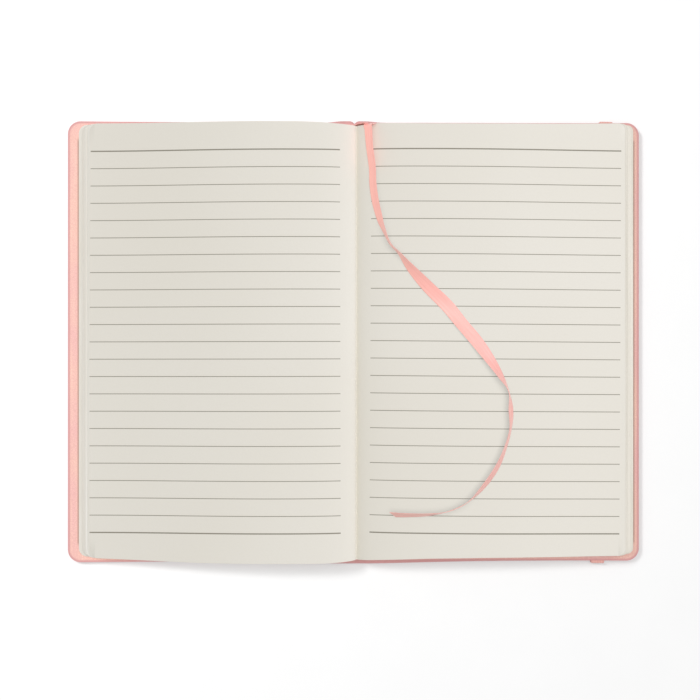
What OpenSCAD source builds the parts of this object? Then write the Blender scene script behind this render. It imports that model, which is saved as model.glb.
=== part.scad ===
// Ruled notebook lying open at a spread, with a ribbon marker and an elastic closing band.
// Millimetres. The origin is the middle of the spine's underside, on the table.
// X runs across the spread from the front cover to the back cover, Y to the head, Z up.

/* [Cover] */
// Height of the cover, head to tail
cover_height = 210; // [190:1:230]
// Width of one cover, from its fold line to the fore edge
cover_width = 130.3; // [124:0.1:145]
// Radius of the cover's outer corners
cover_corner_r = 6; // [3:0.5:10]
// Thickness of the wrap material
wrap_thickness = 0.6; // [0.4:0.1:0.6]
// Thickness of the boards inside the covers
board_thickness = 1.2; // [0.8:0.1:1.6]
// How far the wrap is turned in over a board
turn_in = 15; // [10:1:20]
// Gap left between a cover and the spine at the fold line
fold_gap = 0.3; // [0.2:0.05:0.6]
// Bare stretch of wrap between a board and its fold line
board_setback = 2; // [1:0.5:5]

/* [Endpapers] */
// Thickness of an endpaper
endpaper_thickness = 0.2; // [0.1:0.05:0.3]
// Rim of wrap left showing between an endpaper and the fore edge
endpaper_rim = 6; // [4:0.5:9]

/* [Spine] */
// Width between the two fold lines
spine_width = 11.8; // [10:0.1:18]
// Thickness of the card strip in the spine
strip_thickness = 0.6; // [0.4:0.1:0.8]
// Thickness of the gauze and paper on the back of the block
lining_thickness = 0.9; // [0.9:0.1:1.4]
// Width of that lining
lining_width = 9; // [6:0.5:9.5]

/* [Pages] */
// How far the cover stands out past the pages at head and tail
page_square = 2.5; // [1.5:0.1:8]
// Radius of the pages' outer corners
page_corner_r = 5; // [2:0.5:9]
// Thickness of the sheets turned to the front, at their fore edge
front_stack = 4; // [3:0.1:5]
// Thickness of the sheets turned to the back, at their fore edge
back_stack = 5.6; // [4:0.1:6.5]
// Rim of front cover left showing beside the lowest sheet
front_rim = 5; // [3:0.1:8]
// Rim of back cover left showing beside the lowest sheet
back_rim = 3.2; // [2:0.1:8]
// How far the top sheet's fore edge draws back on the front side
front_fan = 5.8; // [2:0.1:8]
// How far the top sheet's fore edge draws back on the back side
back_fan = 5.4; // [2:0.1:8]
// Height of the arch of the front pages over their bed
front_arch = 11.4; // [8:0.1:14]
// Height of the arch of the back pages over their bed
back_arch = 10.4; // [8:0.1:14]
// Distance of the front arch's crest from the gutter
front_crest = 31; // [20:1:45]
// Distance of the back arch's crest from the gutter
back_crest = 50; // [30:1:60]
// Height of the gutter's floor over the bed of the pages
gutter_floor = 4.9; // [3:0.1:6]
// Gutter's place to the right of the middle of the spine
gutter_x = 0.8; // [-1:0.1:1]

/* [Elastic band] */
// Width of the band
band_width = 6.2; // [4:0.1:9]
// Thickness of the band
band_thickness = 0.7; // [0.5:0.1:1.2]
// Distance of the band's middle from the back cover's fore edge
band_inset = 17.8; // [10:0.1:30]
// How much further in the band lies at the tail than at the head
band_slant = 4; // [0:0.5:6]
// Length of each end of the band under the endpaper
band_let_in = 12; // [9:0.5:14]
// Slack of the band past the head of the cover
band_slack_head = 0.1; // [0.1:0.1:1]
// Slack of the band past the tail of the cover
band_slack_tail = 0.7; // [0.1:0.1:1]

/* [Ribbon marker] */
// Width of the ribbon
ribbon_width = 6; // [4:0.5:7]
// Thickness of the ribbon
ribbon_thickness = 0.25; // [0.15:0.05:0.3]

/* [Hidden] */
$fn = 48;

pink = [0.96, 0.76, 0.73];
card = [0.66, 0.64, 0.6];
cream = [0.91, 0.9, 0.85];
satin = [1, 0.74, 0.7];
sliver = 0.01;

page_height = cover_height - 2 * page_square;

// Levels through a cover, from its outer face
board_bottom = wrap_thickness;
board_top = board_bottom + board_thickness;
rim_top = board_top + wrap_thickness;
bed = rim_top + endpaper_thickness;

// Levels through the spine
strip_top = wrap_thickness + strip_thickness;
spine_rim_top = strip_top + wrap_thickness;
block_foot = strip_top + lining_thickness;

// A cover's plan runs from its own fold line, so its near edge lies half the gap away
near_edge = fold_gap / 2;
half_spine = spine_width / 2;

// The back cover leans on the band that runs under it
band_near_edge = cover_width - band_inset - band_slant / 2 - band_width / 2;
lean = asin(band_thickness / band_near_edge);

// The band lies at this slant, and goes let in to this level
band_middle = cover_width - band_inset;
band_turn = atan(band_slant / cover_height);
band_seat = rim_top - band_thickness;
band_clearance = 0.2;

// Reach of the lowest sheet on each side of the middle of the spine
front_reach = half_spine + cover_width - front_rim;
back_reach = half_spine + cover_width - back_rim;
arch_top = bed + max(front_arch, back_arch) + 2;

// Height of the bed of the back pages, which lean with their cover, a hair clear of it
function back_bed(x) = bed / cos(lean) + 2 * sliver + max(0, x - half_spine) * tan(lean);

// A point on a curve led by four handles
function curve_point(p, t) =
    pow(1 - t, 3) * p[0] + 3 * pow(1 - t, 2) * t * p[1]
    + 3 * (1 - t) * t * t * p[2] + t * t * t * p[3];
function curve(p, steps) = [for (i = [0 : steps - 1]) curve_point(p, i / steps)];

// Heights of the page surface at the fore edges, the crests and the gutter
front_edge_z = bed + front_stack;
back_edge_z = back_bed(back_reach) + back_stack;
front_crest_z = bed + front_arch;
back_crest_z = bed + back_arch;
gutter_z = bed + gutter_floor;
front_crest_x = gutter_x - front_crest;
back_crest_x = gutter_x + back_crest;
front_end_x = -front_reach - 1;
back_end_x = back_reach + 1;
fold_steps = 18;

front_rise = [
    [front_end_x, front_edge_z],
    [front_end_x + 36, front_edge_z],
    [front_crest_x - 38, front_crest_z],
    [front_crest_x, front_crest_z]
];
front_fall = [
    [front_crest_x, front_crest_z],
    [front_crest_x + 15, front_crest_z],
    [gutter_x - 1.6, front_crest_z - 0.6],
    [gutter_x - 0.2, gutter_z]
];
back_rise = [
    [gutter_x + 0.2, gutter_z],
    [gutter_x + 2.5, gutter_z + 3.2],
    [gutter_x + 14, back_crest_z],
    [back_crest_x, back_crest_z]
];
back_fall = [
    [back_crest_x, back_crest_z],
    [back_crest_x + 30, back_crest_z],
    [back_end_x - 26, back_edge_z + 0.2],
    [back_end_x, back_edge_z]
];
page_surface = concat(
    curve(front_rise, fold_steps), curve(front_fall, fold_steps),
    curve(back_rise, fold_steps), curve(back_fall, fold_steps),
    [back_fall[3]]
);
foot_half = lining_width / 2;
foot_edge = half_spine - 0.1;
page_profile = concat(
    page_surface,
    [
        [back_end_x, back_bed(back_end_x)], [half_spine, bed], [foot_edge, bed],
        [foot_half, block_foot], [-foot_half, block_foot],
        [-foot_edge, bed], [front_end_x, bed]
    ]
);

// Ribbon's way out of the spine: x, distance out past the pages' head, height of its middle over its
// seat, way that its outer face looks: 180 down, 90 to the head, 0 up
ribbon_root = [
    [2.4, -11.5, 0, 180],
    [2.4, -4.5, 0, 180],
    [2.4, 0.35, 0, 180],
    [2.4, 0.6, 0.5, 100],
    [2.4, 0.6, 1.8, 90],
    [5, 0.6, 6, 90],
    [7.2, 0.4, 8.7, 75]
];

// Ribbon's way over the pages: x, distance below their head, rise of its middle over the page, turn of
// its face from level
ribbon_run = [
    [7.6, 0.7, 1.7, -40],
    [7.8, 4.5, 2.2, -50],
    [8.2, 11.5, 2.7, -61],
    [8.9, 20.5, 2.7, -61],
    [9.6, 28.5, 2.7, -60],
    [10.8, 36.5, 2.8, -61],
    [12.5, 44.5, 2.9, -65],
    [13.7, 49.5, 3.2, -74],
    [16.4, 56.7, 3.3, -87],
    [20.7, 61.2, 3.2, -72],
    [26.3, 68.1, 2.7, -52],
    [35.1, 76.9, 2, -34],
    [44.2, 85.8, 0.8, -8],
    [50.7, 93.8, 1.5, 22],
    [57.4, 102.1, 2.3, 40],
    [64.2, 110.7, 2.7, 53],
    [69.1, 118.3, 3.1, 69],
    [72.7, 125.6, 3.3, 86],
    [73.6, 134.4, 3.2, 71],
    [73.2, 143.4, 3.2, 76],
    [70.6, 152.8, 3.2, 75],
    [66.7, 161.6, 3.1, 68],
    [60.6, 170.2, 3.2, 70],
    [53.2, 177.5, 3.3, 79],
    [44.1, 181.8, 3.3, 82],
    [35, 183.4, 3.2, 72],
    [25, 183.5, 3.2, 70],
    [19.2, 182.8, 3.2, 71]
];

// Both as places, turns and ways that the face looks
ribbon_seat = (spine_rim_top + block_foot) / 2;
pages_head = page_height / 2;
ribbon_route = concat(
    [for (p = ribbon_root) [p[0], pages_head + p[1], ribbon_seat + p[2], 0, p[3]]],
    [for (p = ribbon_run) [p[0], pages_head - p[1], lookup(p[0], page_surface) + p[2], p[3], 0]]
);

// A flat plate with round corners at its far side, from x1 to x2, standing from z1 to z2
module cover_plate(x1, x2, height, corner_r, z1, z2) {
    translate([0, 0, z1])
        linear_extrude(z2 - z1)
            union() {
                translate([x1, -height / 2])
                    square([x2 - corner_r - x1, height]);
                translate([x1, corner_r - height / 2])
                    square([x2 - x1, height - 2 * corner_r]);
                for (side = [-1, 1])
                    translate([x2 - corner_r, side * (height / 2 - corner_r)])
                        circle(corner_r);
            }
}

// The same plate drawn in by a margin on its three outer sides
module inset_plate(margin, z1, z2, x1 = near_edge) {
    cover_plate(
        x1, cover_width - margin, cover_height - 2 * margin,
        max(cover_corner_r - margin, 1), z1, z2
    );
}

// Puts a piece of the back cover in place, leaning on the band
module on_back() {
    translate([half_spine, 0, 0])
        rotate([0, -lean, 0])
            children();
}

// Puts the mirror image of such a piece in place as part of the front cover
module on_front() {
    translate([-half_spine, 0, 0])
        mirror([1, 0, 0])
            children();
}

// Wrap of one cover: outer sheet, edges and turn-ins
module wrap_half() {
    difference() {
        inset_plate(0, 0, rim_top);
        inset_plate(wrap_thickness, board_bottom, board_top, x1 = -1);
        inset_plate(turn_in, board_bottom, rim_top + 1, x1 = -1);
    }
}

module board_half() {
    inset_plate(wrap_thickness, board_bottom, board_top, x1 = board_setback);
}

// Endpaper: as high as the pages, pasted on the board in the middle and stepped up over the turn-ins
module endpaper_half() {
    difference() {
        cover_plate(
            near_edge, cover_width - endpaper_rim, page_height, page_corner_r, rim_top, bed
        );
        inset_plate(turn_in + endpaper_thickness, rim_top - 1, bed + 1, x1 = -1);
    }
    difference() {
        inset_plate(turn_in, board_top, bed, x1 = board_setback);
        inset_plate(turn_in + endpaper_thickness, board_top + endpaper_thickness, bed + 1, x1 = -1);
    }
}

// Closed outline of the band, seen along X, grown outward by an amount
module band_loop(grow) {
    head = cover_height / 2 + band_slack_head + grow;
    tail = cover_height / 2 + band_slack_tail + grow;
    corner = 0.1 + grow;
    low = -grow;
    high = band_seat + grow;
    hull() {
        translate([head - corner, low + corner])
            circle(corner, $fn = 32);
        translate([head - corner, high - corner])
            circle(corner, $fn = 32);
        translate([corner - tail, low + corner])
            circle(corner, $fn = 32);
        translate([corner - tail, high - corner])
            circle(corner, $fn = 32);
    }
}

// The band's run across the cover, slanted, as a plate of a width between two levels
module band_run(width) {
    translate([band_middle, 0, 0])
        rotate([0, 0, -band_turn])
            rotate([90, 0, 90])
                translate([0, 0, -width / 2])
                    linear_extrude(width)
                        children();
}

// Notch in the back wrap and board that takes an end of the band
module band_notches() {
    length = band_let_in + band_clearance;
    band_run(band_width + 2 * band_clearance)
        for (side = [-1, 1])
            translate([side > 0 ? cover_height / 2 - length : -cover_height / 2 - 1, band_seat])
                square([length + 1, band_thickness + 1]);
}

module front_wrap() {
    color(pink)
        on_front()
            wrap_half();
}

module back_wrap() {
    color(pink)
        on_back()
            difference() {
                wrap_half();
                band_notches();
            }
}

module spine_wrap() {
    width = spine_width - fold_gap;
    color(pink)
        difference() {
            translate([-width / 2, -cover_height / 2, 0])
                cube([width, cover_height, spine_rim_top]);
            translate([-width, wrap_thickness - cover_height / 2, wrap_thickness])
                cube([2 * width, cover_height - 2 * wrap_thickness, strip_thickness]);
            translate([-width, turn_in - cover_height / 2, wrap_thickness])
                cube([2 * width, cover_height - 2 * turn_in, spine_rim_top]);
        }
}

module front_board() {
    color(card)
        on_front()
            board_half();
}

module back_board() {
    color(card)
        on_back()
            difference() {
                board_half();
                band_notches();
            }
}

module spine_strip() {
    width = spine_width - 2 * fold_gap;
    height = cover_height - 2 * wrap_thickness;
    color(card)
        translate([-width / 2, -height / 2, wrap_thickness])
            cube([width, height, strip_thickness]);
}

module spine_lining() {
    height = cover_height - 2 * turn_in;
    color(cream)
        translate([-lining_width / 2, -height / 2, strip_top])
            cube([lining_width, height, lining_thickness]);
}

module front_endpaper() {
    color(cream)
        on_front()
            endpaper_half();
}

module back_endpaper() {
    color(cream)
        on_back()
            endpaper_half();
}

// A thin plate of the pages' plan at one level, its fore edges drawn back by height
module sheet_plan(z) {
    front_x = front_reach - (z - bed) * front_fan / front_stack;
    back_x = back_reach - (z - back_bed(back_reach)) * back_fan / back_stack;
    for (x = [page_corner_r - front_x, back_x - page_corner_r])
        for (y = [-1, 1])
            translate([x, y * (page_height / 2 - page_corner_r), z])
                cylinder(h = sliver, r = page_corner_r, $fn = 32);
}

// Pages: one section drawn from head to tail, with drawn-back fore edges and round corners
module text_block() {
    color(cream)
        intersection() {
            rotate([90, 0, 0])
                translate([0, 0, -page_height / 2])
                    linear_extrude(page_height)
                        polygon(page_profile);
            hull() {
                sheet_plan(0);
                sheet_plan(arch_top);
            }
        }
}

module elastic_band() {
    color(pink)
        on_back()
            band_run(band_width)
                difference() {
                    band_loop(band_thickness);
                    band_loop(0);
                    translate([band_let_in - cover_height / 2, band_seat / 2])
                        square([cover_height - 2 * band_let_in, 3 * rim_top]);
                }
}

// Directions along a route, and corners of a flat ribbon's section at each of its points
function unit(v) = v / norm(v);
function place(p) = [p[0], p[1], p[2]];
function along(route, i) =
    unit(place(route[min(i + 1, len(route) - 1)]) - place(route[max(i - 1, 0)]));
function level_side(t, look) = unit(cross(t, [0, sin(look), cos(look)]));
function face_side(t, turn, look) =
    let (side = level_side(t, look))
        side * cos(turn) + cross(side, t) * sin(turn);
function ribbon_ring(route, i) =
    let (
        t = along(route, i),
        across = face_side(t, route[i][3], route[i][4]) * ribbon_width / 2,
        through = unit(cross(across, t)) * ribbon_thickness / 2,
        p = place(route[i])
    )
        [p + across + through, p - across + through, p - across - through, p + across - through];

module ribbon_marker() {
    rings = len(ribbon_route);
    corners = [for (i = [0 : rings - 1]) each ribbon_ring(ribbon_route, i)];
    // Both faces are cut along the same diagonal, so that the twisted ribbon keeps its thickness
    walls = [
        for (i = [0 : rings - 2])
            for (k = [0 : 3])
                let (a = 4 * i + k, b = 4 * i + (k + 1) % 4)
                    each k < 2
                        ? [[a, b, b + 4], [a, b + 4, a + 4]]
                        : [[a, b, a + 4], [b, b + 4, a + 4]]
    ];
    last = 4 * (rings - 1);
    ends = [[3, 2, 1, 0], [last, last + 1, last + 2, last + 3]];
    color(satin)
        polyhedron(corners, concat(walls, ends));
}

front_wrap();
spine_wrap();
back_wrap();
front_board();
back_board();
spine_strip();
spine_lining();
front_endpaper();
back_endpaper();
text_block();
elastic_band();
ribbon_marker();
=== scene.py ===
"""Ruled notebook lying open: dressed around its construction model."""

import math

import bmesh
import bpy
import numpy as np
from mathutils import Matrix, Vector


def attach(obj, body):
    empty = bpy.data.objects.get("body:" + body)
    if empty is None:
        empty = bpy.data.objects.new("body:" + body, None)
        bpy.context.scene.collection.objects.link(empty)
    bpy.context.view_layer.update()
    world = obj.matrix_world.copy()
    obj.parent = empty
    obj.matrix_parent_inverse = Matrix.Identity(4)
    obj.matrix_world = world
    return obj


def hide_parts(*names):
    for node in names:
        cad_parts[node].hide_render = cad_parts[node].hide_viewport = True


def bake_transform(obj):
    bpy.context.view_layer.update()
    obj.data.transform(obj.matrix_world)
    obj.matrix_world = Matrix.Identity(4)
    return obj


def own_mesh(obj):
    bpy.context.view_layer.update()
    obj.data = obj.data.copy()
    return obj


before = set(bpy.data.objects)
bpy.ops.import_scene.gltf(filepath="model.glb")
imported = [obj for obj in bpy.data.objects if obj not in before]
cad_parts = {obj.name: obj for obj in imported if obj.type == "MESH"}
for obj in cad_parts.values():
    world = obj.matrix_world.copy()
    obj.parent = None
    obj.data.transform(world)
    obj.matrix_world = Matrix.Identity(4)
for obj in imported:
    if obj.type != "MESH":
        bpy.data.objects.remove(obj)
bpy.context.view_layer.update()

MM = 0.001

# Sizes shared with the construction, in millimetres.
# Reaches and edges are measured from the middle of the spine.
HALF_SPINE = 5.9
COVER_EDGE = 136.5
COVER_HALF = 105.0
COVER_CORNER = 6.0
COVER_THICK = 2.4
SPINE_THICK = 1.8
WRAP_THICK = 0.6
TURN_IN = 15.0
BED = 2.6
LINING_TOP = 2.1
BAND_WIDTH = 6.2
BAND_THICK = 0.7
BAND_CORD = 0.78
# The band's middle, from the back cover's fold line, and how much further in it lies at the tail
BAND_MIDDLE = 112.9
BAND_DRIFT = 4.0
# The back cover leans on the band's inner edge
BAND_INNER_EDGE = 107.4
LEAN = math.asin(BAND_THICK / BAND_INNER_EDGE)
# Pieces that lie on each other stay this far apart
CLEARANCE = 0.02

# The open pages
FRONT_REACH = 131.2
BACK_REACH = 133.6
FRONT_FAN = 5.8
BACK_FAN = 5.4
FRONT_CORNER = 4.0
BACK_CORNER = 3.0
FRONT_STACK = 4.0
BACK_STACK = 5.6
FRONT_CREST = (-30.2, 14.0)
BACK_CREST = (50.8, 13.0)
GUTTER = 0.8
GUTTER_TOP = 7.5
# Height of the sheets on top of each stack that go up into the arch
TOP_SHEETS = 0.3
# Where the stacks on the covers end and the bound part in the gutter begins
SEAM = 7.0
MIDDLE = -0.9

# The photograph: its scale at the covers, and the place of the notebook in it
PHOTO_SIDE = 700
PIXELS_PER_MM = 2.09
SPINE_PIXEL = (354.5, 341.8)
CAMERA_DISTANCE = 0.55
CAMERA_LEAN = math.radians(1.1)
SENSOR_WIDTH = 36


def back_bed(x):
    """Height of the back cover's inner face, which leans on the elastic under it."""
    return BED / math.cos(LEAN) + CLEARANCE + np.maximum(0, np.asarray(x) - HALF_SPINE) * math.tan(LEAN)


def bezier(handles, count=160):
    """Points on a curve led by four handles."""
    t = np.linspace(0, 1, count)[:, None]
    a, b, c, d = [np.array(h, float) for h in handles]
    return (1 - t) ** 3 * a + 3 * (1 - t) ** 2 * t * b + 3 * (1 - t) * t**2 * c + t**3 * d


BACK_EDGE_TOP = float(back_bed(BACK_REACH)) + BACK_STACK
FRONT_EDGE_TOP = BED + FRONT_STACK
PAGE_SURFACE = np.vstack(
    [
        bezier(
            [
                (-FRONT_REACH - 1, FRONT_EDGE_TOP),
                (-FRONT_REACH + 35, FRONT_EDGE_TOP),
                (FRONT_CREST[0] - 38, FRONT_CREST[1]),
                FRONT_CREST,
            ]
        ),
        bezier(
            [
                FRONT_CREST,
                (FRONT_CREST[0] + 15, FRONT_CREST[1]),
                (GUTTER - 1.6, FRONT_CREST[1] - 0.6),
                (GUTTER - 0.2, GUTTER_TOP),
            ]
        ),
        bezier(
            [
                (GUTTER + 0.2, GUTTER_TOP),
                (GUTTER + 2.5, GUTTER_TOP + 3.2),
                (GUTTER + 14, BACK_CREST[1]),
                BACK_CREST,
            ]
        ),
        bezier(
            [
                BACK_CREST,
                (BACK_CREST[0] + 30, BACK_CREST[1]),
                (BACK_REACH - 25, BACK_EDGE_TOP + 0.2),
                (BACK_REACH + 1, BACK_EDGE_TOP),
            ]
        ),
    ]
)


def page_top(x):
    """Height of the open pages' surface."""
    return np.interp(x, PAGE_SURFACE[:, 0], PAGE_SURFACE[:, 1])


# Camera
def make_camera():
    """The camera, at the photograph's place over the notebook."""
    camera = bpy.data.objects.new("camera", bpy.data.cameras.new("camera"))
    bpy.context.scene.collection.objects.link(camera)
    aim = Vector(
        (
            (PHOTO_SIDE / 2 - SPINE_PIXEL[0]) / PIXELS_PER_MM * MM,
            (SPINE_PIXEL[1] - PHOTO_SIDE / 2) / PIXELS_PER_MM * MM,
            COVER_THICK * MM,
        )
    )
    away = Vector((-math.sin(CAMERA_LEAN), 0, math.cos(CAMERA_LEAN)))
    camera.location = aim + away * CAMERA_DISTANCE
    camera.rotation_euler = (0, -CAMERA_LEAN, 0)
    camera.data.sensor_width = SENSOR_WIDTH
    camera.data.lens = SENSOR_WIDTH * CAMERA_DISTANCE / (PHOTO_SIDE / PIXELS_PER_MM * MM)
    camera.data.clip_start = 0.01
    bpy.context.scene.camera = camera


make_camera()


# Shader writing
class Wire:
    """A socket whose sums and products add Math nodes."""

    def __init__(self, finish, socket):
        self.finish = finish
        self.socket = socket

    def math(self, operation, *values):
        return self.finish.add("ShaderNodeMath", {"operation": operation}, dict(enumerate(values)))

    def __add__(self, other):
        return self.math("ADD", self, other)

    def __radd__(self, other):
        return self.math("ADD", other, self)

    def __sub__(self, other):
        return self.math("SUBTRACT", self, other)

    def __rsub__(self, other):
        return self.math("SUBTRACT", other, self)

    def __mul__(self, other):
        return self.math("MULTIPLY", self, other)

    def __rmul__(self, other):
        return self.math("MULTIPLY", other, self)

    def __truediv__(self, other):
        return self.math("DIVIDE", self, other)

    def __rtruediv__(self, other):
        return self.math("DIVIDE", other, self)

    def __abs__(self):
        return self.math("ABSOLUTE", self)


class Finish:
    """A material, or the studio's backdrop, under construction."""

    def __init__(self, name, owners=None):
        owners = bpy.data.materials if owners is None else owners
        self.owner = owners.new(name)
        self.owner.use_nodes = True
        self.tree = self.owner.node_tree
        self.tree.nodes.clear()

    def add(self, kind, settings=None, sockets=None, output=0):
        """A node of a type, with its settings set first and then its sockets' values or links."""
        node = self.tree.nodes.new(kind)
        for key, value in (settings or {}).items():
            setattr(node, key, value)
        for key, value in (sockets or {}).items():
            socket = node.inputs[key]
            if isinstance(value, Wire):
                self.tree.links.new(value.socket, socket)
            else:
                socket.default_value = value
        return Wire(self, node.outputs[output]) if len(node.outputs) else None

    def place(self):
        """Coordinates in metres, in the piece's own space."""
        return self.add("ShaderNodeTexCoord", output="Object")

    def parts(self, vector):
        """The three numbers of a vector."""
        first = self.add("ShaderNodeSeparateXYZ", sockets={0: vector})
        return [Wire(self, socket) for socket in first.socket.node.outputs]

    def vector(self, x, y, z):
        return self.add("ShaderNodeCombineXYZ", sockets={0: x, 1: y, 2: z})

    def stored(self, name):
        """A number kept at the mesh's points."""
        return self.add("ShaderNodeAttribute", {"attribute_name": name}, output="Fac")

    def noise(self, vector, scale, detail=3.0, roughness=0.5):
        return self.add(
            "ShaderNodeTexNoise",
            sockets={"Vector": vector, "Scale": scale, "Detail": detail, "Roughness": roughness},
        )

    def mix(self, factor, a, b):
        """A colour between two colours."""
        a = (*a, 1) if isinstance(a, tuple) else a
        b = (*b, 1) if isinstance(b, tuple) else b
        return self.add("ShaderNodeMix", {"data_type": "RGBA"}, {0: factor, 6: a, 7: b}, 2)

    def smooth(self, value, low, high, to_low=0.0, to_high=1.0):
        """A value carried smoothly from one range into another."""
        return self.add(
            "ShaderNodeMapRange",
            {"interpolation_type": "SMOOTHSTEP"},
            {0: value, 1: low, 2: high, 3: to_low, 4: to_high},
        )

    def bump(self, height, distance, strength):
        sockets = {"Height": height, "Distance": distance, "Strength": strength}
        return self.add("ShaderNodeBump", sockets=sockets)

    def seen(self):
        """1 for the camera's rays, also mirrored or let through, and 0 for those that carry light."""
        path = self.add("ShaderNodeLightPath", output="Is Camera Ray")
        rays = path
        for word in ("Is Glossy Ray", "Is Transmission Ray"):
            rays = rays.math("MAXIMUM", rays, Wire(self, path.socket.node.outputs[word]))
        return rays

    def done(self, color, roughness, normal, shine, sheen=0.0, brushed=0.0):
        """Closes the finish with its surface shader."""
        sockets = {"Base Color": color, "Roughness": roughness, "Normal": normal}
        sockets |= {"Specular IOR Level": shine, "Sheen Weight": sheen, "Anisotropic": brushed}
        surface = self.add("ShaderNodeBsdfPrincipled", sockets=sockets)
        self.add("ShaderNodeOutputMaterial", sockets={"Surface": surface})
        return self.owner


def srgb(r, g, b):
    """A colour given as it is seen, 0 to 255, as light."""
    return tuple(
        c / 255 / 12.92 if c / 255 <= 0.04045 else ((c / 255 + 0.055) / 1.055) ** 2.4 for c in (r, g, b)
    )


# Finishes
PAPER = srgb(237, 233, 222)
PAPER_SHADE = srgb(232, 227, 214)
INK = srgb(146, 141, 127)
SATIN = srgb(253, 188, 178)


def ruled_finish(name, x_from, x_to, middle, pitch, skew, spread=0.0, lean=0.0, flare=0.0):
    """Printed page: 23 grey lines, the first and the last heavier, on cream paper.
    Skew turns the lines, spread opens them towards the right, lean slants both of their ends to the
    left on the way down, and flare makes them longer on that way."""
    f = Finish(name)
    place = f.place()
    x, y, z = f.parts(place)
    line_gaps = 22
    half_line = 0.17 * MM
    half_heavy = 0.3 * MM
    soft = 0.05 * MM
    across = x - (x_from + x_to) / 2 * MM
    step = across * (spread * pitch * MM) + pitch * MM
    level = (y - middle * MM + across * math.tan(skew)) / step
    count = level + line_gaps / 2
    off = abs(count.math("FRACT", count + 0.5) - 0.5) * (pitch * MM)
    end = abs(abs(level) - line_gaps / 2) * (pitch * MM)
    within = f.smooth(abs(level), line_gaps / 2 + 0.25, line_gaps / 2 + 0.3, 1.0, 0.0)
    thin = f.smooth(off, half_line - soft, half_line + soft, 1.0, 0.0) * within
    heavy = f.smooth(end, half_heavy - soft, half_heavy + soft, 1.0, 0.0)
    half_length = (x_to - x_from) / 2 * MM
    below_first = (middle + pitch * line_gaps / 2) * MM - y
    reach = abs(across + below_first * lean) - below_first * flare
    along = f.smooth(reach, half_length, half_length + soft, 1.0, 0.0)
    speckle = f.noise(place, 2600.0, 2.0)
    ink = thin.math("MAXIMUM", thin, heavy) * along * f.smooth(speckle, 0.2, 0.5, 0.86, 1.0)
    cloud = f.noise(place, 9.0, 2.0)
    paper = f.mix(f.smooth(cloud, 0.3, 0.7, 0.0, 0.5), PAPER, PAPER_SHADE)
    fibre = f.noise(place, 1400.0, 5.0, 0.65)
    paper = f.mix(f.smooth(fibre, 0.35, 0.75, 0.0, 0.35), paper, PAPER_SHADE)
    color = f.mix(ink, paper, INK)
    return f.done(color, 0.82, f.bump(fibre, 0.02 * MM, 0.35), shine=0.25)


def sheet_edge_finish():
    """Cut edges of the stacked sheets, in fine layers that follow the stack, with painted light on the left
    stack's edges and painted shade on the right's.
    """
    f = Finish("sheet_edges")
    x, y, z = f.parts(f.place())
    level = f.stored("level")
    layers = f.noise(f.vector(x * 9.0, y * 9.0, level * 5.0), 1.0, 6.0, 0.75)
    groups = f.noise(f.vector(x * 3.0, y * 3.0, level * 1.3), 1.0, 1.0)
    shade = f.smooth(layers * 0.75 + groups * 0.25, 0.36, 0.62)
    # Painted light and shade: the left stack's edges are drawn lighter and the right stack's darker than the
    # same paper.
    left = f.mix(shade, srgb(244, 239, 227), srgb(253, 250, 242))
    right = f.mix(shade, srgb(216, 211, 197), srgb(233, 228, 216))
    color = f.mix(f.smooth(x, -5.0 * MM, 5.0 * MM), left, right)
    return f.done(color, 0.85, f.bump(layers, 0.08 * MM, 0.6), shine=0.2)


def edge_reach(f, x, y):
    """Distance past the centres of the cover's rounded corners, or past the lines between them."""
    past = []
    for value, limit in ((x, COVER_EDGE), (y, COVER_HALF)):
        over = abs(value) - (limit - COVER_CORNER) * MM
        past.append(over.math("MAXIMUM", over, 0.0))
    return f.add("ShaderNodeVectorMath", {"operation": "LENGTH"}, {0: f.vector(*past, 0.0)}, "Value")


def stack_shade(f, x, y, z):
    """Shade on the turn-ins in a narrow line along the foot of each stack of sheets."""
    lines = [
        f.smooth(out, (foot - 1.2) * MM, (foot - 0.8) * MM)
        * f.smooth(out, (foot + 0.3) * MM, (foot + 1.2) * MM, 0.85, 0.0)
        for out, foot in ((x, BACK_REACH), (0.0 - x, FRONT_REACH))
    ]
    between_corners = f.smooth(abs(y), 95.0 * MM, 98.0 * MM, 1.0, 0.0)
    inner_face = f.smooth(z, 1.2 * MM, 1.8 * MM)
    return (lines[0] + lines[1]) * between_corners * inner_face


def leather_finish():
    """Leather-look coated wrap: a fine pebbled grain under a soft matt coat, with painted shade in a darker
    line along its rounded edges.
    """
    f = Finish("salmon_leather")
    place = f.place()
    warp = f.noise(place, 300.0, 2.0)
    x, y, z = f.parts(place)
    bent = f.vector(x + warp * 0.0006, y + warp * 0.0004, z)
    edges = {"feature": "DISTANCE_TO_EDGE"}
    cells = f.add("ShaderNodeTexVoronoi", edges, {"Vector": bent, "Scale": 1150.0}, "Distance")
    pebble = f.smooth(cells, 0.0, 0.32)
    pores = f.noise(place, 5200.0, 2.0)
    patch = f.noise(place, 28.0, 3.0)
    color = f.mix(f.smooth(patch, 0.35, 0.65), srgb(247, 200, 184), srgb(243, 190, 185))
    streak = f.noise(f.vector(x * 420.0, y * 30.0, z * 420.0), 1.0, 4.0, 0.6)
    color = f.mix(f.smooth(streak, 0.45, 0.75, 0.0, 0.55), color, srgb(255, 212, 194))
    color = f.mix(f.smooth(pebble, 0.0, 0.5, 0.35, 0.0), color, srgb(218, 160, 152))
    color = f.mix(stack_shade(f, x, y, z), color, srgb(176, 140, 124))
    # Painted shade: the colour darkens in a line along the rounded edges.
    painted_edge_shade = f.smooth(edge_reach(f, x, y), (COVER_CORNER - 1.45) * MM, (COVER_CORNER - 0.45) * MM)
    color = f.mix(painted_edge_shade * 0.9, color, srgb(212, 152, 152))
    grain = f.bump(pebble + pores * 0.25, 0.05 * MM, 0.75)
    rough = f.smooth(patch + pores * 0.4, 0.4, 1.0, 0.5, 0.62)
    return f.done(color, rough, grain, shine=0.4, sheen=0.08)


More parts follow.
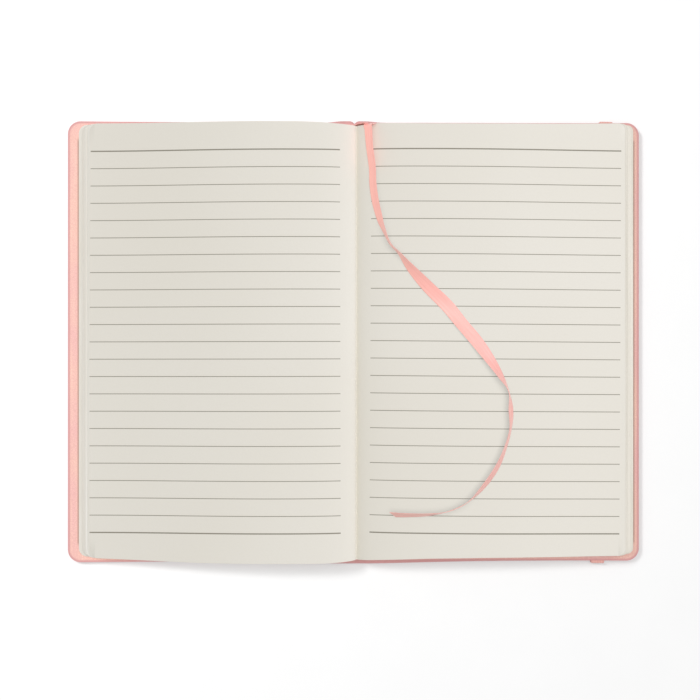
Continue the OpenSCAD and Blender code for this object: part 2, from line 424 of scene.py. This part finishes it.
def board_finish():
    """Grey bookbinding board."""
    f = Finish("grey_board")
    place = f.place()
    fibre = f.noise(place, 700.0, 5.0, 0.7)
    fleck = f.noise(place, 1900.0, 2.0)
    color = f.mix(f.smooth(fibre, 0.35, 0.7), srgb(158, 152, 142), srgb(184, 178, 167))
    color = f.mix(f.smooth(fleck, 0.62, 0.7, 0.0, 0.6), color, srgb(120, 113, 104))
    return f.done(color, 0.9, f.bump(fibre, 0.05 * MM, 0.6), shine=0.2)


def lining_finish():
    """Open gauze glued over kraft paper."""
    f = Finish("gauze_lining")
    place = f.place()
    x, y, z = f.parts(place)
    turn = math.tau / (1.1 * MM)
    across = f.smooth(x.math("SINE", x * turn), 0.5, 0.95)
    down = f.smooth(y.math("SINE", y * turn), 0.5, 0.95)
    threads = across.math("MAXIMUM", across, down)
    fibre = f.noise(place, 900.0, 4.0)
    kraft = f.mix(f.smooth(fibre, 0.3, 0.7), srgb(205, 190, 160), srgb(222, 210, 184))
    color = f.mix(threads, kraft, srgb(238, 234, 222))
    return f.done(color, 0.85, f.bump(threads + fibre * 0.2, 0.12 * MM, 0.7), shine=0.2)


def endpaper_finish():
    """Plain cream paper, a little heavier than the pages."""
    f = Finish("cream_endpaper")
    place = f.place()
    fibre = f.noise(place, 1100.0, 5.0, 0.65)
    cloud = f.noise(place, 14.0, 2.0)
    color = f.mix(f.smooth(cloud, 0.3, 0.7), srgb(230, 225, 212), srgb(223, 217, 203))
    color = f.mix(f.smooth(fibre, 0.4, 0.75, 0.0, 0.4), color, srgb(214, 207, 192))
    return f.done(color, 0.85, f.bump(fibre, 0.03 * MM, 0.5), shine=0.22)


def ribbon_finish():
    """Satin ribbon: fine threads along it, a rib at each selvedge."""
    f = Finish("salmon_satin")
    across = f.stored("across")
    along = f.stored("along")
    threads = across.math("SINE", across * (math.tau / 0.16)) * 0.5 + 0.5
    weft = along.math("SINE", along * (math.tau / 0.22)) * 0.5 + 0.5
    drift = f.noise(f.vector(across * 1.2, along * 0.05, 0.0), 1.0, 3.0)
    selvedge = f.smooth(abs(across), 2.45, 2.7)
    color = f.mix(f.smooth(drift, 0.3, 0.7), SATIN, srgb(246, 176, 166))
    color = f.mix(threads * weft * 0.35 + selvedge * 0.2, color, srgb(232, 158, 148))
    relief = f.bump(threads * 0.6 + weft * 0.4, 0.012 * MM, 0.6)
    rough = f.smooth(drift, 0.3, 0.7, 0.34, 0.44)
    return f.done(color, rough, relief, shine=0.5, sheen=0.15, brushed=0.4)


def elastic_finish():
    """Flat woven elastic: lengthwise cords with a fine crosswise bind."""
    f = Finish("woven_elastic")
    across = f.stored("across")
    along = f.stored("along")
    cords = across.math("SINE", across * (math.tau / BAND_CORD)) * 0.5 + 0.5
    bind = along.math("SINE", along * (math.tau / 0.5) + across * 8.0) * 0.5 + 0.5
    fuzz = f.noise(f.vector(across * 3.0, along * 3.0, 0.0), 1.0, 4.0)
    color = f.mix(cords * 0.7 + bind * 0.3, srgb(222, 160, 151), srgb(246, 194, 184))
    relief = f.bump(cords * 0.7 + bind * 0.3 + fuzz * 0.2, 0.09 * MM, 0.8)
    return f.done(color, 0.75, relief, shine=0.3, sheen=0.3)


LEFT_RULED = ruled_finish(
    "ruled_left_page",
    x_from=-124.8,
    x_to=-7.1,
    middle=0.0,
    pitch=8.187,
    skew=math.radians(-0.1),
    lean=0.002,
    flare=0.004,
)
RIGHT_RULED = ruled_finish(
    "ruled_right_page",
    x_from=7.85,
    x_to=126.5,
    middle=0.09,
    pitch=8.236,
    skew=math.radians(0.42),
    spread=0.05,
    lean=0.0052,
)
SHEET_EDGES = sheet_edge_finish()
LEATHER = leather_finish()
RIBBON = ribbon_finish()
ELASTIC = elastic_finish()
BOARD = board_finish()
LINING = lining_finish()
ENDPAPER = endpaper_finish()


# Mesh writing
def make_piece(name, points, faces, finishes, face_finish=None, numbers=None, sharp=38):
    """A mesh piece from points in millimetres, with numbers kept at its points."""
    mesh = bpy.data.meshes.new(name)
    mesh.from_pydata([tuple(p) for p in np.asarray(points, float) * MM], [], [list(f) for f in faces])
    for finish in finishes:
        mesh.materials.append(finish)
    if face_finish is not None:
        mesh.polygons.foreach_set("material_index", np.asarray(face_finish, np.int32))
    for key, values in (numbers or {}).items():
        mesh.attributes.new(key, "FLOAT", "POINT").data.foreach_set("value", np.asarray(values, np.float32))
    mesh.polygons.foreach_set("use_smooth", np.ones(len(mesh.polygons), bool))
    mesh.set_sharp_from_angle(angle=math.radians(sharp))
    mesh.validate()
    mesh.update()
    piece = bpy.data.objects.new(name, mesh)
    bpy.context.scene.collection.objects.link(piece)
    return piece


def mapped_box(name, us, vs, ws, place, finishes, flip=False):
    """A closed piece shaped by place(u, v, w), which gives a point and its level in the stack.
    The first finish goes on the face where w is highest, the second on the others."""
    index = {}
    points = []
    levels = []

    def corner(i, j, k):
        key = (i, j, k)
        if key not in index:
            x, y, z, level = place(us[i], vs[j], ws[k])
            index[key] = len(points)
            points.append((x, y, z))
            levels.append(level)
        return index[key]

    faces = []
    kinds = []
    last_u, last_v, last_w = len(us) - 1, len(vs) - 1, len(ws) - 1

    def grid(n, m, at, kind, turn):
        for a in range(n):
            for b in range(m):
                quad = [at(a, b), at(a + 1, b), at(a + 1, b + 1), at(a, b + 1)]
                faces.append(quad[::-1] if turn != flip else quad)
                kinds.append(kind)

    grid(last_u, last_v, lambda a, b: corner(a, b, last_w), 0, False)
    grid(last_u, last_v, lambda a, b: corner(a, b, 0), 1, True)
    grid(last_u, last_w, lambda a, b: corner(a, 0, b), 1, False)
    grid(last_u, last_w, lambda a, b: corner(a, last_v, b), 1, True)
    grid(last_v, last_w, lambda a, b: corner(0, a, b), 1, True)
    grid(last_v, last_w, lambda a, b: corner(last_u, a, b), 1, False)
    return make_piece(name, points, faces, finishes, kinds, {"level": levels})


def run_lengths(places):
    """Distance along a line at each of its points."""
    return np.concatenate([[0], np.cumsum(np.linalg.norm(np.diff(places, axis=0), axis=1))])


def tube_faces(rings, corners):
    """Faces of a tube from its rings, which have so many corners each, closed at both ends."""
    faces = []
    for i in range(rings - 1):
        for k in range(corners):
            a, b = i * corners + k, i * corners + (k + 1) % corners
            faces.append((a, b, b + corners, a + corners))
    last = (rings - 1) * corners
    return faces + [tuple(range(corners - 1, -1, -1)), tuple(range(last, last + corners))]


# Ribbon marker
RIBBON_WIDTH = 6.0
# Its way out of the spine: x, distance past the pages' head, height, way that its outer face looks
RIBBON_ROOT = [
    (2.4, -11.5, 1.95, 180),
    (2.4, -4.5, 1.95, 180),
    (2.4, 0.35, 1.95, 180),
    (2.4, 0.6, 2.45, 100),
    (2.4, 0.6, 3.75, 90),
    (5, 0.6, 7.95, 90),
    (7.2, 0.4, 10.65, 75),
]
# Its way over the pages: x, distance below their head, rise over the page, turn of its face
RIBBON_RUN = [
    (6.2, 0.7, 1.9, -52),
    (6.4, 4.5, 2.3, -57),
    (6.9, 11.5, 2.7, -61),
    (8.1, 20.5, 2.7, -61),
    (8.4, 28.5, 2.7, -60),
    (9.5, 36.5, 2.8, -61),
    (11.5, 44.5, 2.9, -66),
    (13.2, 49.5, 3.2, -78),
    (16.4, 56.7, 3.3, -88),
    (20.6, 61.2, 3.2, -84),
    (26.0, 68.1, 2.8, -57),
    (34.2, 76.9, 2, -28),
    (43.4, 85.8, 0.8, -6),
    (49.9, 93.8, 1.0, 12),
    (56.9, 102.1, 1.3, 14),
    (63.2, 110.7, 2.2, 35),
    (68.1, 118.3, 2.9, 57),
    (71.9, 125.6, 3.3, 80),
    (73.0, 134.4, 3.1, 61),
    (72.8, 143.4, 3.2, 72),
    (70.2, 152.8, 3.2, 69),
    (66.3, 161.6, 3.1, 61),
    (60.2, 170.2, 3.1, 63),
    (52.8, 177.5, 3.3, 79),
    (43.8, 181.8, 3.3, 82),
    (34.6, 183.4, 3.2, 72),
    (24.6, 183.7, 3.1, 66),
    (17.6, 183.5, 3.0, 62),
]
# How many of those points stay with the root when the notebook is shut
HELD_POINTS = 3
PAGES_HEAD = 102.5
# Length at its end over which the slant of its cut fades out
CUT_LENGTH = 8
# Half of its section: distance from its middle, half the thickness there
RIBBON_SECTION = [(-3, 0.05), (-2.85, 0.12), (-2.55, 0.09), (0, 0.1), (2.55, 0.09), (2.85, 0.12), (3, 0.05)]


def eased_route(points, steps):
    """A smooth route through chosen points, by a spline through each."""
    p = np.array(points, float)
    p = np.vstack([2 * p[0] - p[1], p, 2 * p[-1] - p[-2]])
    t = np.linspace(0, 1, steps, endpoint=False)[:, None]
    out = []
    for a, b, c, d in zip(p[:-3], p[1:-2], p[2:-1], p[3:]):
        bend = (2 * a - 5 * b + 4 * c - d) * t**2 + (3 * b - a - 3 * c + d) * t**3
        out.append(0.5 * (2 * b + (c - a) * t + bend))
    return np.vstack(out + [p[-2:-1]])


def ribbon_mesh(name, route, cut=0.0):
    """A flat ribbon along a route of places and turns. Its last end is cut at a slant."""
    places = route[:, :3]
    along = np.gradient(places, axis=0)
    along /= np.linalg.norm(along, axis=1)[:, None]
    look = np.radians(route[:, 4])
    level = np.cross(along, np.stack([0 * look, np.sin(look), np.cos(look)], axis=1))
    level /= np.linalg.norm(level, axis=1)[:, None]
    turn = np.radians(route[:, 3])[:, None]
    across = level * np.cos(turn) + np.cross(level, along) * np.sin(turn)
    through = np.cross(across, along)
    section = RIBBON_SECTION + [(a, -b) for a, b in reversed(RIBBON_SECTION)]
    distance = run_lengths(places)
    points, widths, lengths = [], [], []
    for i in range(len(places)):
        for a, b in section:
            shift = cut * (a / RIBBON_WIDTH) * max(0, 1 - (distance[-1] - distance[i]) / CUT_LENGTH)
            points.append(places[i] + across[i] * a + through[i] * b + along[i] * shift)
            widths.append(a)
            lengths.append(distance[i] + shift)
    faces = tube_faces(len(places), len(section))
    return make_piece(name, points, faces, [RIBBON], numbers={"across": widths, "along": lengths}, sharp=60)


def make_ribbon():
    """The ribbon in two pieces: one lies on the right page, the other comes up out of the spine."""
    root = [(x, PAGES_HEAD + y, z, 0, look) for x, y, z, look in RIBBON_ROOT]
    run = [(x, PAGES_HEAD - y, float(page_top(x)) + rise, turn, 0) for x, y, rise, turn in RIBBON_RUN]
    steps = 6
    whole = eased_route(root + run, steps)
    split = (len(root) + HELD_POINTS) * steps
    lying = whole[split:]
    ribbon = ribbon_mesh("ribbon_marker_lying", lying, cut=3.0)
    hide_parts("ribbon_marker")
    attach(ribbon, "back_cover")
    ribbon.visible_diffuse = False
    start = ribbon_mesh("ribbon_marker_root", whole[: split + 1])
    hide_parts("ribbon_marker")
    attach(start, "spine")
    return ribbon, start


ribbon, ribbon_root = make_ribbon()


# Pages
# Places across the spread, and how far the open pages reach towards the head there
HEAD_MARKS = [-131, -97, -48, -26, -16, -9, -2, 6, 9, 34, 60, 97, 133]
HEAD_REACH = [103.1, 103.2, 103.3, 103.2, 102.9, 102.5, 102.1, 102.4, 103.1, 102.7, 102.7, 103.1, 103.8]
# The same towards the tail
TAIL_MARKS = [-131, -97, -72, -48, -16, -9, -2, 0.5, 6, 34, 60, 97, 133]
TAIL_REACH = [102.0, 103.3, 104.0, 104.1, 104.1, 103.9, 103.4, 103.2, 103.1, 102.1, 101.8, 101.8, 101.6]
# Shares of a page's width at its columns, which crowd in the last share round its corners
CROWDED = 0.06
EVEN_COLUMNS = np.linspace(0, 1 - CROWDED, 90)
CORNER_COLUMNS = 1 - CROWDED + CROWDED * np.sin(np.linspace(0.08, math.pi / 2, 14))
ACROSS_PAGE = [*EVEN_COLUMNS.tolist(), *CORNER_COLUMNS.tolist()]
ACROSS_GUTTER = np.linspace(0, 1, 40).tolist()
DOWN_PAGE = np.linspace(0, 1, 25).tolist()
page_random = np.random.default_rng(11)


def page_ends(x):
    """How far the open pages reach towards the head and towards the tail."""
    return np.interp(x, HEAD_MARKS, HEAD_REACH), np.interp(x, TAIL_MARKS, TAIL_REACH)


def stack_foot(x):
    """Height at which the sheets start on the cover under them."""
    return (float(back_bed(x)) if x > 0 else BED) + CLEARANCE


def arch_foot(x):
    """Height at which the top sheets start."""
    return (float(back_bed(x)) + BACK_STACK if x > 0 else BED + FRONT_STACK) - TOP_SHEETS


def stack_top(x):
    """Height at which the stack under the top sheets ends."""
    return arch_foot(x) - CLEARANCE


def fan_levels(steps):
    """Levels of a fanned fore edge: (share of the height, share drawn back) at each ring."""
    foot, rise = 0.1, 0.72
    first_back, draw_back = 0.22, 0.44
    groove = 0.012
    rows = [(0.0, 0.0), (foot - 0.01, 0.0), (foot, first_back)]
    for i in range(steps):
        share = foot + rise * (i + 1) / steps
        back = first_back + draw_back * (i + 0.35) / steps
        rows += [(share - groove, back), (share, back + draw_back * 0.65 / steps)]
    return rows + [(0.9, 0.68), (0.915, 0.8), (1.0, 0.84)]


def arch_levels(steps):
    """Levels of the arched top sheets, whose fore edge goes on where the fan ends."""
    return [(i / steps, 0.86 + 0.14 * i / steps) for i in range(steps + 1)]


def stack_place(side, rows, floor, ceiling):
    """Places in a stack of sheets whose fore edge is fanned."""
    reach, fan, corner = (
        (FRONT_REACH, FRONT_FAN, FRONT_CORNER) if side < 0 else (BACK_REACH, BACK_FAN, BACK_CORNER)
    )
    unevenness = 0.06
    jitter = page_random.normal(0, unevenness, len(rows))

    def place(u, v, w):
        share, back = rows[w]
        edge = reach - fan * back
        x = SEAM + (edge - SEAM) * u
        z = floor(side * x) + (ceiling(side * x) - floor(side * x)) * share
        head, tail = page_ends(side * x)
        inside = max(0.0, corner - (edge - x))
        trim = corner - math.sqrt(max(0.0, corner**2 - inside**2)) - jitter[w]
        y = -(tail - trim) + (head + tail - 2 * trim) * v
        return side * x, y, z, z - floor(side * x)

    return place


def gutter_place(x_from, x_to):
    """Places in the bound part of the sheets, over the spine's lining."""

    def place(u, v, w):
        x = x_from + (x_to - x_from) * u
        floor = np.interp(abs(x), [4.5, 5.8], [LINING_TOP, BED]) + CLEARANCE
        z = floor + (page_top(x) - floor) * w
        head, tail = page_ends(x)
        return x, -tail + (head + tail) * v, z, z - floor

    return place


def make_pages():
    """Three pieces on each side: stack, arch over it, and half of the gutter."""
    pieces = {}
    fan, arch = fan_levels(9), arch_levels(8)
    for side, word, ruled in ((-1, "front", LEFT_RULED), (1, "back", RIGHT_RULED)):
        pieces[word] = []
        for part, rows, floor, ceiling, top_finish in (
            ("stack", fan, stack_foot, stack_top, SHEET_EDGES),
            ("arch", arch, arch_foot, page_top, ruled),
        ):
            piece = mapped_box(
                f"{word}_page_{part}",
                ACROSS_PAGE,
                DOWN_PAGE,
                range(len(rows)),
                stack_place(side, rows, floor, ceiling),
                [top_finish, SHEET_EDGES],
                flip=side < 0,
            )
            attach(piece, word + "_cover")
            pieces[word].append(piece)
    for word, x_from, x_to, ruled in (
        ("front", -SEAM, MIDDLE, LEFT_RULED),
        ("back", MIDDLE, SEAM, RIGHT_RULED),
    ):
        gutter = mapped_box(
            word + "_page_gutter",
            ACROSS_GUTTER,
            DOWN_PAGE,
            np.linspace(0, 1, 9).tolist(),
            gutter_place(x_from, x_to),
            [ruled, SHEET_EDGES],
        )
        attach(gutter, "spine")
        pieces[word].append(gutter)
    for group in pieces.values():
        for piece in group:
            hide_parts("text_block")
    return pieces


pages = make_pages()


# Cover wrap
# Where the wrap is cut across and along: closely round its fold line, where its thickness and crease change,
# and near the ends, where it takes its shape
FOLD_CUTS = np.arange(3.0, 9.6, 0.3).tolist()
ACROSS_CUTS = FOLD_CUTS + [1, 2, 11, 13, 16, 20, 26, 34, 46, 60, 75, 90, 105, COVER_EDGE - TURN_IN, 130, 134]
ALONG_CUTS = np.arange(-80, 81, 16.0).tolist()
for cut in (COVER_HALF - TURN_IN, 103, 100, 96):
    ALONG_CUTS += [-cut, cut]
EDGE_ROUND = 0.95


def wrap_outline():
    """Corners of half the cover, from the spine's middle round the fore edge and back."""
    out = [(0.0, -COVER_HALF)]
    for side in (-1, 1):
        for i in range(13):
            a = math.pi / 2 * i / 12
            a = math.pi / 2 - a if side < 0 else a
            x = COVER_EDGE - COVER_CORNER + COVER_CORNER * math.cos(a)
            y = side * (COVER_HALF - COVER_CORNER + COVER_CORNER * math.sin(a))
            out.append((x, y))
    return out + [(0.0, COVER_HALF)]


def cut_through(work, places, way):
    """Cuts a mesh through at places along one way."""
    for place in places:
        everything = work.verts[:] + work.edges[:] + work.faces[:]
        bmesh.ops.bisect_plane(work, geom=everything, plane_co=Vector(way) * place, plane_no=way, dist=1e-5)


def flat_wrap():
    """Half of the wrap, flat, rounded at its edges and open over the board inside it."""
    work = bmesh.new()
    floor = [work.verts.new((x, y, 0)) for x, y in wrap_outline()]
    work.faces.new(floor[::-1])
    ceiling = [work.verts.new((x, y, COVER_THICK)) for x, y in wrap_outline()]
    work.faces.new(ceiling)
    for i in range(len(floor) - 1):
        work.faces.new((floor[i], floor[i + 1], ceiling[i + 1], ceiling[i]))
    rim = [
        e for e in work.edges if len(e.link_faces) == 2 and abs(e.verts[0].co.z - e.verts[1].co.z) < 0.01
    ]
    bmesh.ops.bevel(
        work, geom=rim, offset=EDGE_ROUND, segments=5, profile=0.5, affect="EDGES", clamp_overlap=True
    )
    cut_through(work, ACROSS_CUTS, (1, 0, 0))
    cut_through(work, ALONG_CUTS, (0, 1, 0))
    work.normal_update()
    opening = []
    for face in work.faces:
        middle = face.calc_center_median()
        inside = middle.x < COVER_EDGE - TURN_IN and abs(middle.y) < COVER_HALF - TURN_IN
        if inside and face.normal.z > 0.9:
            opening.append(face)
    bmesh.ops.delete(work, geom=opening, context="FACES")
    return work


def swell(x, size, half_width, power=2):
    """A swelling of some size beside the spine's middle or a fold line."""
    return size * math.exp(-((x / half_width) ** power))


def shape_wrap(work, side):
    """Gives the flat wrap its thin spine, its creases, its swollen ends and its lean."""
    crease, head_swell, head_notch, tail_swell = 0.3, 0.8, 1.3, 1.25
    for v in work.verts:
        x, y, z = v.co
        height = float(np.interp(x, [HALF_SPINE - 1.4, HALF_SPINE + 1.2], [SPINE_THICK, COVER_THICK]))
        z = z * height / COVER_THICK
        if z < COVER_THICK / 2:
            z += swell(x - HALF_SPINE, crease, 0.8)
        spread = max(0.0, abs(y) - (COVER_HALF - TURN_IN)) / TURN_IN
        if y > 0:
            y += (swell(x, head_swell, 10.0, power=4) - swell(x, head_notch, 0.9)) * spread
        else:
            y -= swell(x, tail_swell, 44.0) * spread
        if side > 0:
            z += max(0.0, x - HALF_SPINE) * math.tan(LEAN)
        v.co = (side * x * MM, y * MM, z * MM)
    if side < 0:
        bmesh.ops.reverse_faces(work, faces=work.faces[:])
    work.normal_update()


def apply_modifiers(piece):
    """Keeps a piece's finished mesh in place of its modifiers."""
    bpy.context.view_layer.update()
    done = bpy.data.meshes.new_from_object(piece.evaluated_get(bpy.context.evaluated_depsgraph_get()))
    piece.modifiers.clear()
    piece.data = done


def make_wrap(side, word, node):
    """Half of the wrap: outer face, rounded edges, turn-ins, and a crease along the fold line."""
    work = flat_wrap()
    shape_wrap(work, side)
    mesh = bpy.data.meshes.new(word + "_cover_wrap")
    work.to_mesh(mesh)
    work.free()
    wrap = bpy.data.objects.new(word + "_cover_wrap", mesh)
    bpy.context.scene.collection.objects.link(wrap)
    thick = wrap.modifiers.new("thickness", "SOLIDIFY")
    thick.thickness = (WRAP_THICK - 0.05) * MM
    thick.offset = -1
    apply_modifiers(wrap)
    wrap.data.materials.append(LEATHER)
    wrap.data.polygons.foreach_set("use_smooth", np.ones(len(wrap.data.polygons), bool))
    wrap.data.set_sharp_from_angle(angle=math.radians(40))
    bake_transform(wrap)
    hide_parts(node, "spine_wrap")
    return wrap


front_wrap = make_wrap(-1, "front", "front_wrap")
back_wrap = make_wrap(1, "back", "back_wrap")


# Elastic band
def quarter_turn(y, z, radius, start, first):
    """Points of a quarter turn about (y, z), clockwise from an angle in degrees."""
    angles = [math.radians(start) - math.pi / 2 * i / 8 for i in range(first, 8)]
    return [(y + radius * math.cos(a), z + radius * math.sin(a)) for a in angles]


def band_line():
    """The band's middle line, as seen from the fore edge: under the endpaper at the head, round the
    cover's head edge, down its outside, round the tail edge and under the endpaper again."""
    head, tail = COVER_HALF, COVER_HALF + 0.6
    ease = 0.1
    seat = COVER_THICK - BAND_THICK
    let_in = COVER_HALF - 12.0
    bend = BAND_THICK / 2
    radius = bend + ease
    return np.array(
        [(y, seat + bend) for y in np.linspace(let_in, head, 8)]
        + quarter_turn(head, seat - ease, radius, 90, 1)
        + [(head + radius, BAND_THICK)]
        + quarter_turn(head, ease, radius, 0, 0)
        + [(y, -bend) for y in np.linspace(head, -tail, 60)]
        + quarter_turn(-tail, ease, radius, -90, 1)
        + [(-tail - radius, BAND_THICK)]
        + quarter_turn(-tail, seat - ease, radius, 180, 0)
        + [(y, seat + bend) for y in np.linspace(-tail, -let_in, 8)]
    )


def band_section():
    """Outline of the band's section, with a rib for each cord in it."""
    steps = 32
    section = []
    for i in range(steps + 1):
        a = -BAND_WIDTH / 2 + BAND_WIDTH * i / steps
        edge = min(1.0, (BAND_WIDTH / 2 - abs(a)) / 0.35)
        rise = (BAND_THICK / 2 - 0.06) * math.sqrt(max(0.0, 1 - (1 - edge) ** 2))
        section.append((a, max(0.02, rise + 0.05 * math.cos(math.tau * a / BAND_CORD))))
    return section + [(a, -b) for a, b in reversed(section[1:-1])]


def make_band():
    """Closing band: a flat ribbed loop under the back cover, its ends let in at head and tail."""
    slant = math.atan(BAND_DRIFT / (2 * COVER_HALF))
    line, section = band_line(), band_section()
    step = np.gradient(line, axis=0)
    step /= np.linalg.norm(step, axis=1)[:, None]
    outward = np.stack([-step[:, 1], step[:, 0]], axis=1)
    distance = run_lengths(line)
    points, widths, lengths = [], [], []
    for i, (y, z) in enumerate(line):
        for a, b in section:
            along = y + outward[i, 0] * b
            up = z + outward[i, 1] * b
            out = BAND_MIDDLE + a * math.cos(slant) + along * math.sin(slant)
            points.append(
                (
                    HALF_SPINE + out * math.cos(LEAN) - up * math.sin(LEAN),
                    along * math.cos(slant) - a * math.sin(slant),
                    out * math.sin(LEAN) + up * math.cos(LEAN),
                )
            )
            widths.append(a)
            lengths.append(distance[i])
    faces = tube_faces(len(line), len(section))
    numbers = {"across": widths, "along": lengths}
    band = make_piece("elastic_closing_band", points, faces, [ELASTIC], numbers=numbers)
    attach(band, "back_cover")
    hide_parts("elastic_band")
    return band


band = make_band()


# Finishes on the construction's own pieces
def finish_node(name, material):
    """Gives a piece of the construction its finish."""
    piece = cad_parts[name]
    piece = bpy.data.objects[piece] if isinstance(piece, str) else piece
    for place in piece.material_slots:
        place.material = material


INNER_PIECES = {
    "front_board": BOARD,
    "back_board": BOARD,
    "spine_strip": BOARD,
    "spine_lining": LINING,
    "front_endpaper": ENDPAPER,
    "back_endpaper": ENDPAPER,
}
for name, material in INNER_PIECES.items():
    finish_node(name, material)


# Meshes of their own for the arches, the gutters and the ribbon
def settle_pages():
    """Gives the arches, the gutter halves and both ribbon pieces meshes of their own."""
    front_foot = (-HALF_SPINE * MM, 0, arch_foot(-HALF_SPINE) * MM)
    front_arch, front_gutter = pages["front"][1:]
    back_arch, back_gutter = pages["back"][1:]
    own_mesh(front_arch)
    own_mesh(back_arch)
    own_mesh(front_gutter)
    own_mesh(back_gutter)
    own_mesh(ribbon)
    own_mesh(ribbon_root)


settle_pages()


# Floor, light and backdrop
WHITE = (1, 1, 1, 1)


def make_floor():
    """A pale floor that takes the shadows, with a glow for the camera so that it comes out white."""
    f = Finish("pale_floor")
    grain = f.noise(f.place(), 40.0, 2.0)
    surface = f.add(
        "ShaderNodeBsdfPrincipled",
        sockets={
            "Base Color": f.mix(grain, (0.69, 0.69, 0.69), (0.71, 0.71, 0.71)),
            "Roughness": 0.9,
            "Specular IOR Level": 0.0,
        },
    )
    glow = f.add("ShaderNodeEmission", sockets={"Color": WHITE, "Strength": 0.2})
    both = f.add("ShaderNodeAddShader", sockets={0: surface, 1: glow})
    shown = f.add("ShaderNodeMixShader", sockets={0: f.seen(), 1: surface, 2: both})
    f.add("ShaderNodeOutputMaterial", sockets={"Surface": shown})
    side, drop = 3.0, 0.0001
    mesh = bpy.data.meshes.new("floor")
    corners = [(-side, -side, -drop), (side, -side, -drop), (side, side, -drop), (-side, side, -drop)]
    mesh.from_pydata(corners, [], [(0, 1, 2, 3)])
    mesh.materials.append(f.owner)
    floor = bpy.data.objects.new("floor", mesh)
    bpy.context.scene.collection.objects.link(floor)
    return floor


def make_backdrop():
    """A soft even light from all round, and white where the camera looks past the floor."""
    f = Finish("studio", bpy.data.worlds)
    soft = f.add("ShaderNodeBackground", sockets={"Color": WHITE, "Strength": 0.4})
    white = f.add("ShaderNodeBackground", sockets={"Color": WHITE, "Strength": 1.0})
    shown = f.add("ShaderNodeMixShader", sockets={0: f.seen(), 1: soft, 2: white})
    f.add("ShaderNodeOutputWorld", sockets={"Surface": shown})
    bpy.context.scene.world = f.owner


def piece_group(name, pieces):
    """A collection of pieces that a lamp lights, or that shade its light."""
    group = bpy.data.collections.new(name)
    for piece in pieces:
        group.objects.link(piece)
    return group


def make_lights(floor):
    """Square soft lamps. Paper, cover and floor each have one of their own, besides the one overhead."""
    papers = [piece for group in pages.values() for piece in group]
    papers += [bpy.data.objects[name] for name in INNER_PIECES]
    ribbons = [ribbon, ribbon_root]
    pinks = [front_wrap, back_wrap, band] + ribbons
    for name, at, size, power, color, lit, shading in (
        ("top_light", (0.1, 0.15, 1.9), 1.5, 17.0, (1, 1, 1), None, None),
        ("right_light", (1.0, 0.3, 0.66), 0.7, 4.8, (0.88, 0.88, 1.0), papers + ribbons, papers),
        ("left_light", (-0.95, 0.25, 0.9), 0.6, 6.5, (1, 1, 1), pinks, None),
        ("steep_light", (-0.62, 0.46, 0.95), 0.3, 8.0, (1, 1, 1), [floor], None),
    ):
        lamp = bpy.data.lights.new(name, "AREA")
        lamp.shape = "SQUARE"
        lamp.size = size
        lamp.energy = power
        lamp.color = color
        light = bpy.data.objects.new(name, lamp)
        light.location = at
        light.rotation_euler = (-Vector(at)).to_track_quat("-Z", "Y").to_euler()
        bpy.context.scene.collection.objects.link(light)
        if lit:
            light.light_linking.receiver_collection = piece_group(name + "_receivers", lit)
        if shading:
            light.light_linking.blocker_collection = piece_group(name + "_blockers", shading)


make_lights(make_floor())
make_backdrop()
bpy.context.scene.view_settings.view_transform = "Standard"
